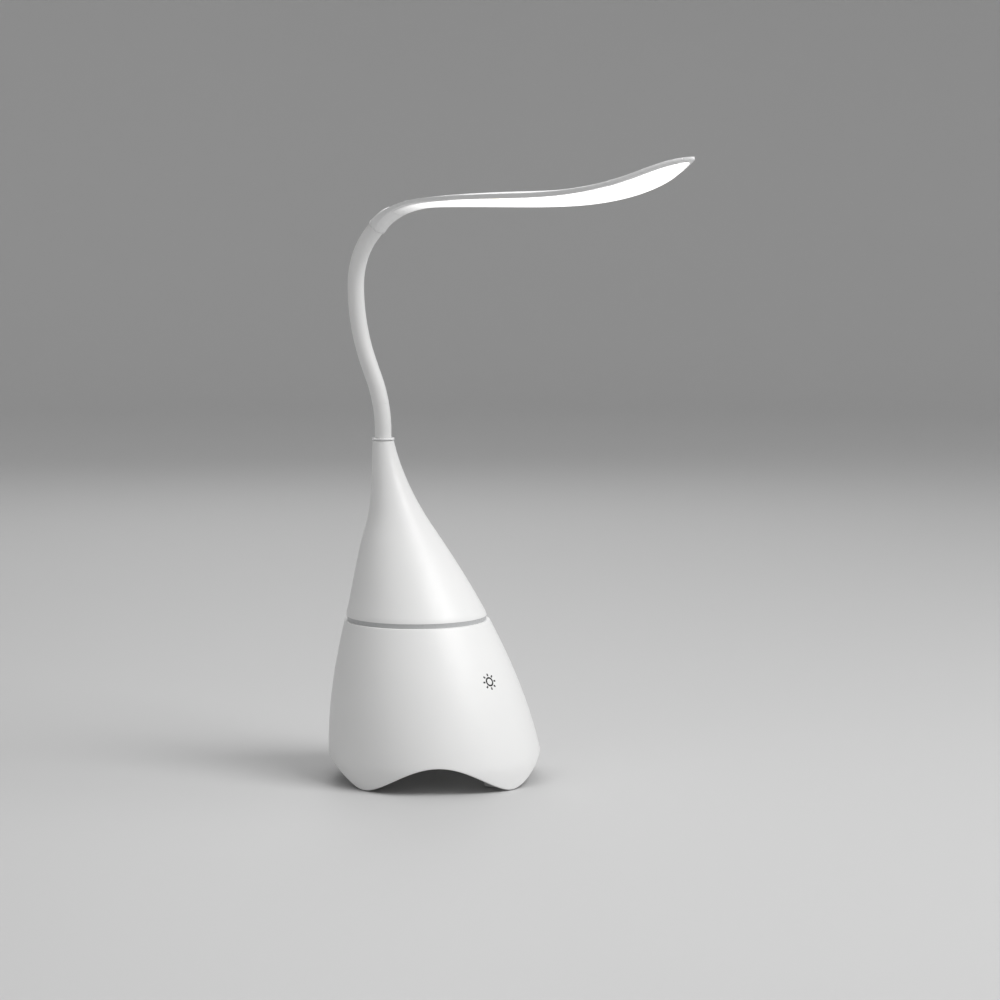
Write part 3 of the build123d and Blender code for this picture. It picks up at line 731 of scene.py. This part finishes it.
class Finish:
    """A procedural material under construction: a principled shader and helpers to feed it."""

    def __init__(self, name, colour, roughness, **constants):
        self.material = bpy.data.materials.new(name)
        self.material.use_nodes = True
        self.tree = self.material.node_tree
        self.shader = self.tree.nodes["Principled BSDF"]
        self.shader.inputs["Base Color"].default_value = (*colour, 1)
        self.shader.inputs["Roughness"].default_value = roughness
        for socket, value in constants.items():
            self.shader.inputs[socket.replace("_", " ")].default_value = value
        self.place = self.node("ShaderNodeTexCoord").outputs["Object"]
        self.colour = colour
        self.rough = roughness

    def node(self, kind, **settings):
        made = self.tree.nodes.new(kind)
        for name, value in settings.items():
            setattr(made, name, value)
        return made

    def link(self, source, socket):
        self.tree.links.new(source, socket)

    def noise(self, size_mm, detail=3.0, stretch=(1, 1, 1)):
        """A noise pattern whose features are about size_mm across."""
        spread = self.node("ShaderNodeMapping")
        spread.inputs["Scale"].default_value = stretch
        self.link(self.place, spread.inputs["Vector"])
        pattern = self.node("ShaderNodeTexNoise")
        pattern.inputs["Scale"].default_value = 1 / (size_mm * MM)
        pattern.inputs["Detail"].default_value = detail
        self.link(spread.outputs["Vector"], pattern.inputs["Vector"])
        return pattern.outputs["Fac"]

    def span(self, source, low, high, first=0.3, last=0.7):
        """A value from low to high as the source goes from first to last."""
        ramp = self.node("ShaderNodeMapRange")
        for name, value in zip(("From Min", "From Max", "To Min", "To Max"), (first, last, low, high)):
            ramp.inputs[name].default_value = value
        self.link(source, ramp.inputs["Value"])
        return ramp.outputs["Result"]

    def tint(self, source, change):
        """The colour, a little darker and lighter with the source."""
        mix = self.node("ShaderNodeMix", data_type="RGBA")
        dark = tuple(c * (1 - change) for c in self.colour)
        light = tuple(min(1.0, c * (1 + change)) for c in self.colour)
        mix.inputs[6].default_value = (*dark, 1)
        mix.inputs[7].default_value = (*light, 1)
        self.link(source, mix.inputs[0])
        self.link(mix.outputs[2], self.shader.inputs["Base Color"])
        return mix.outputs[2]

    def gloss(self, source, change):
        spread = self.span(source, self.rough - change, self.rough + change)
        self.link(spread, self.shader.inputs["Roughness"])

    def bump(self, source, depth_mm, strength=1.0):
        bump = self.node("ShaderNodeBump")
        bump.inputs["Strength"].default_value = strength
        bump.inputs["Distance"].default_value = depth_mm * MM
        self.link(source, bump.inputs["Height"])
        self.link(bump.outputs["Normal"], self.shader.inputs["Normal"])


def satin_white(name, colour=(0.86, 0.86, 0.855), roughness=0.42):
    """Moulded white plastic with a fine spark-eroded texture and the faintest unevenness."""
    made = Finish(name, colour, roughness, IOR=1.49)
    cloud = made.noise(28.0, 4.0)
    grain = made.noise(0.28, 2.0)
    made.tint(cloud, 0.012)
    made.gloss(made.noise(6.0, 5.0), 0.035)
    made.bump(grain, 0.012, 0.55)
    return made.material


def silicone_white():
    """The soft white sleeve: less gloss, a faint powdery sheen."""
    sheen = {"Sheen_Weight": 0.12, "Sheen_Roughness": 0.4}
    made = Finish("silicone_white", (0.85, 0.85, 0.845), 0.5, IOR=1.43, **sheen)
    made.tint(made.noise(14.0, 3.0), 0.015)
    made.gloss(made.noise(2.2, 4.0), 0.05)
    made.bump(made.noise(0.5, 3.0), 0.02, 0.5)
    return made.material


def opal_glow():
    """Opal acrylic lit from behind: brightest over the lights, softer towards its rim and stem."""
    made = Finish("opal_glow", (0.93, 0.93, 0.925), 0.34, IOR=1.49)
    apart = made.node("ShaderNodeSeparateXYZ")
    made.link(made.place, apart.inputs["Vector"])
    rim_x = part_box("head_diffuser")[0].x
    lit = made.span(apart.outputs["X"], 0.0, 1.1, rim_x, rim_x + GLOW_RUN * MM)
    ripple = made.span(made.noise(9.0, 2.0), -0.01, 0.01)
    total = made.node("ShaderNodeMath", operation="ADD")
    made.link(lit, total.inputs[0])
    made.link(ripple, total.inputs[1])
    made.shader.inputs["Emission Color"].default_value = (1.0, 0.995, 0.985, 1)
    made.link(total.outputs[0], made.shader.inputs["Emission Strength"])
    made.bump(made.noise(0.35, 2.0), 0.008, 0.4)
    return made.material


def ring_grey():
    # Mid grey: partly the ring's own light-grey tone, partly painted shade of the recess under the
    # upper shell's lip.
    made = Finish("ring_grey", (0.52, 0.525, 0.53), 0.3, IOR=1.5)
    made.tint(made.noise(3.0, 3.0), 0.04)
    made.gloss(made.noise(1.2, 3.0), 0.05)
    made.bump(made.noise(0.4, 2.0), 0.006, 0.4)
    return made.material


def dark_plastic(name, colour, roughness=0.5):
    made = Finish(name, colour, roughness, IOR=1.5)
    made.tint(made.noise(5.0, 4.0), 0.06)
    made.gloss(made.noise(1.6, 4.0), 0.06)
    made.bump(made.noise(0.3, 2.0), 0.02, 0.6)
    return made.material


def rubber(name, colour):
    made = Finish(name, colour, 0.72, IOR=1.52)
    made.tint(made.noise(1.6, 5.0), 0.1)
    made.bump(made.noise(0.35, 4.0), 0.05, 0.7)
    return made.material


def metal(name, colour, roughness, streaks=(1, 1, 1)):
    """Bare metal with fine marks drawn out along one way."""
    made = Finish(name, colour, roughness, Metallic=1.0)
    marks = made.noise(0.6, 4.0, streaks)
    made.tint(made.noise(4.0, 4.0), 0.08)
    made.gloss(marks, 0.08)
    made.bump(marks, 0.01, 0.5)
    return made.material


def cast_metal(name, colour):
    made = Finish(name, colour, 0.55, Metallic=1.0)
    made.tint(made.noise(2.5, 6.0), 0.15)
    made.gloss(made.noise(1.0, 5.0), 0.12)
    made.bump(made.noise(0.8, 5.0), 0.08, 0.7)
    return made.material


def circuit_board(name):
    """Green lacquer over copper tracks, which show as a faint grid of lighter lines."""
    made = Finish(name, (0.02, 0.16, 0.07), 0.35, IOR=1.5)
    tracks = made.node("ShaderNodeTexBrick", offset=0.35)
    tracks.inputs["Scale"].default_value = 1 / (3.2 * MM)
    tracks.inputs["Mortar Size"].default_value = 0.05
    tracks.inputs["Color1"].default_value = (0.02, 0.16, 0.07, 1)
    tracks.inputs["Color2"].default_value = (0.02, 0.19, 0.08, 1)
    tracks.inputs["Mortar"].default_value = (0.06, 0.3, 0.12, 1)
    made.link(made.place, tracks.inputs["Vector"])
    made.link(tracks.outputs["Color"], made.shader.inputs["Base Color"])
    made.bump(tracks.outputs["Fac"], 0.03, 0.4)
    return made.material


def wrap_film(name, colour):
    """Shrink film on a round cell, with a slight ripple."""
    made = Finish(name, colour, 0.25, IOR=1.5, Coat_Weight=0.3)
    made.tint(made.noise(7.0, 2.0), 0.08)
    made.bump(made.noise(4.0, 3.0), 0.1, 0.4)
    return made.material


def print_black():
    made = Finish("print_black", (0.006, 0.006, 0.006), 0.45, IOR=1.45)
    made.tint(made.noise(0.7, 4.0), 0.2)
    made.bump(made.noise(0.2, 2.0), 0.006, 0.5)
    return made.material


def lens_yellow():
    made = Finish("lens_yellow", (0.9, 0.8, 0.35), 0.2, IOR=1.5)
    made.tint(made.noise(1.0, 2.0), 0.08)
    made.bump(made.noise(0.5, 2.0), 0.01, 0.4)
    return made.material


# ======== dressing ========


def dress(piece, material):
    """One finish for the whole piece."""
    piece.data.materials.clear()
    piece.data.materials.append(material)


def dress_nodes(material, *names):
    for name in names:
        mesh = frame["nodes"][name].data
        if not mesh.materials:
            mesh.materials.append(material)
        for i in range(len(mesh.materials)):
            mesh.materials[i] = material


def stand_for(piece, node, body, material):
    """A modelled piece takes the place of a solid, on its body and in its finish."""
    dress(piece, material)
    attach(piece, body)
    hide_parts(node)


shell_white = satin_white("shell_white")
head_white = satin_white("head_white", (0.86, 0.86, 0.86), 0.4)
collar_white = satin_white("collar_white", (0.88, 0.88, 0.88), 0.25)
steel = metal("steel", (0.62, 0.62, 0.62), 0.32, (1, 1, 0.08))
screw_steel = metal("screw_steel", (0.5, 0.5, 0.51), 0.36)

stand_for(lower_shell(), "lower_shell", "base", shell_white)
stand_for(upper_shell(), "upper_shell", "base", shell_white)
stand_for(groove_ring(), "groove_ring", "base", ring_grey())
stand_for(collar(), "collar", "base", collar_white)
neck_sleeve(silicone_white())
midline = head_midline()
stand_for(head_shell(midline), "head_shell", "head", head_white)
stand_for(head_diffuser(midline), "head_diffuser", "head", opal_glow())

symbol = sun_symbol(print_black())
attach(symbol, "base")

links = [name for name in frame["nodes"] if name.startswith("neck_link")]
dress_nodes(steel, "neck_stud", "neck_clamp", "head_ferrule", "charge_socket", *links)
dress_nodes(
    screw_steel, "plate_screws", "ballast_screws", "deck_screws", "upper_screws", "board_screws",
    "clamp_screw", "tray_screws",
)
dress_nodes(dark_plastic("frame_grey", (0.2, 0.2, 0.205)), "mid_frame", "battery_cradle")
dress_nodes(dark_plastic("plate_white", (0.76, 0.76, 0.755), 0.55), "base_plate")
dress_nodes(rubber("pad_rubber", (0.4, 0.4, 0.4)), "foot_pads")
dress_nodes(cast_metal("ballast_iron", (0.34, 0.34, 0.35)), "ballast_plate")
dress_nodes(wrap_film("cell_wrap", (0.04, 0.16, 0.38)), "battery")
dress_nodes(circuit_board("board_green"), "main_board", "charge_board")
dress_nodes(dark_plastic("chip_black", (0.03, 0.03, 0.03), 0.4), "board_parts")
dress_nodes(metal("copper", (0.8, 0.45, 0.28), 0.3), "touch_pad")
dress_nodes(metal("tray_aluminium", (0.8, 0.8, 0.81), 0.38, (0.06, 1, 1)), "led_tray")
dress_nodes(lens_yellow(), "leds")


# ======== floor, light and camera ========

# ---- each lamp's name, place and aim in metres, width and power ----
LAMPS = (
    ("key", (1.1, 0.35, 1.5), (0, 0, 0.15), 1.1, 24),
    ("fill", (0.2, -1.7, 0.9), (0, 0, 0.15), 1.4, 1.5),
    ("rim", (-1.2, 1.0, 1.1), (0, 0, 0.2), 0.9, 4),
)

def pale_floor():
    """A round floor that curves up into a wall all round, in one pale tone."""
    flat, bend, wall = 3.2, 1.4, 2.2
    section = [(0.0, 0.0)] + [(flat * i / 6, 0.0) for i in range(1, 7)]
    rises = [radians(6 * i) for i in range(1, 16)]
    section += [(flat + bend * sin(a), bend * (1 - cos(a))) for a in rises]
    section += [(flat + bend, bend + wall)]
    around = 96
    angles = [2 * pi * i / around for i in range(around)]
    points, faces = [], []
    for r, z in section:
        points += [(r * cos(a), r * sin(a), z) for a in angles]
    for row in range(len(section) - 1):
        for i in range(around):
            j = (i + 1) % around
            a, b = row * around, (row + 1) * around
            faces.append((a + i, a + j, b + j, b + i))
    mesh = bpy.data.meshes.new("floor")
    mesh.from_pydata(points, [], faces)
    mesh.shade_smooth()
    floor = linked("floor", mesh)
    form = bmesh.new()
    form.from_mesh(mesh)
    bmesh.ops.remove_doubles(form, verts=form.verts, dist=1e-6)
    form.to_mesh(mesh)
    form.free()
    made = Finish("floor_pale", (0.56, 0.56, 0.56), 0.6)
    made.tint(made.noise(600.0, 2.0), 0.01)
    dress(floor, made.material)


def soft_light(name, place, aim, size, power):
    light = bpy.data.lights.new(name, "AREA")
    light.shape = "DISK"
    light.size = size
    light.energy = power
    lamp = bpy.data.objects.new(name, light)
    bpy.context.scene.collection.objects.link(lamp)
    lamp.location = place
    lamp.rotation_euler = (Vector(aim) - Vector(place)).to_track_quat("-Z", "Y").to_euler()


def studio_world():
    world = bpy.data.worlds.new("studio")
    bpy.context.scene.world = world
    world.use_nodes = True
    world.node_tree.nodes["Background"].inputs["Color"].default_value = (1, 1, 1, 1)
    world.node_tree.nodes["Background"].inputs["Strength"].default_value = 0.6


def camera():
    """The photograph's view: level with the head, 45 degrees round to the front right."""
    distance, height = 1.5353, 0.3104
    azimuth, down, aside = radians(45), radians(5.67), radians(1.40)
    focal, sensor = 2.725, 36
    data = bpy.data.cameras.new("camera")
    data.sensor_width = sensor
    data.lens = sensor * focal
    view = bpy.data.objects.new("camera", data)
    bpy.context.scene.collection.objects.link(view)
    view.location = (distance * sin(azimuth), -distance * cos(azimuth), height)
    turn = azimuth - aside
    ahead = Vector((-sin(turn) * cos(down), cos(turn) * cos(down), -sin(down)))
    view.rotation_euler = ahead.to_track_quat("-Z", "Y").to_euler()
    bpy.context.scene.camera = view


pale_floor()
studio_world()
for lamp in LAMPS:
    soft_light(*lamp)
camera()
bpy.context.scene.view_settings.view_transform = "Standard"
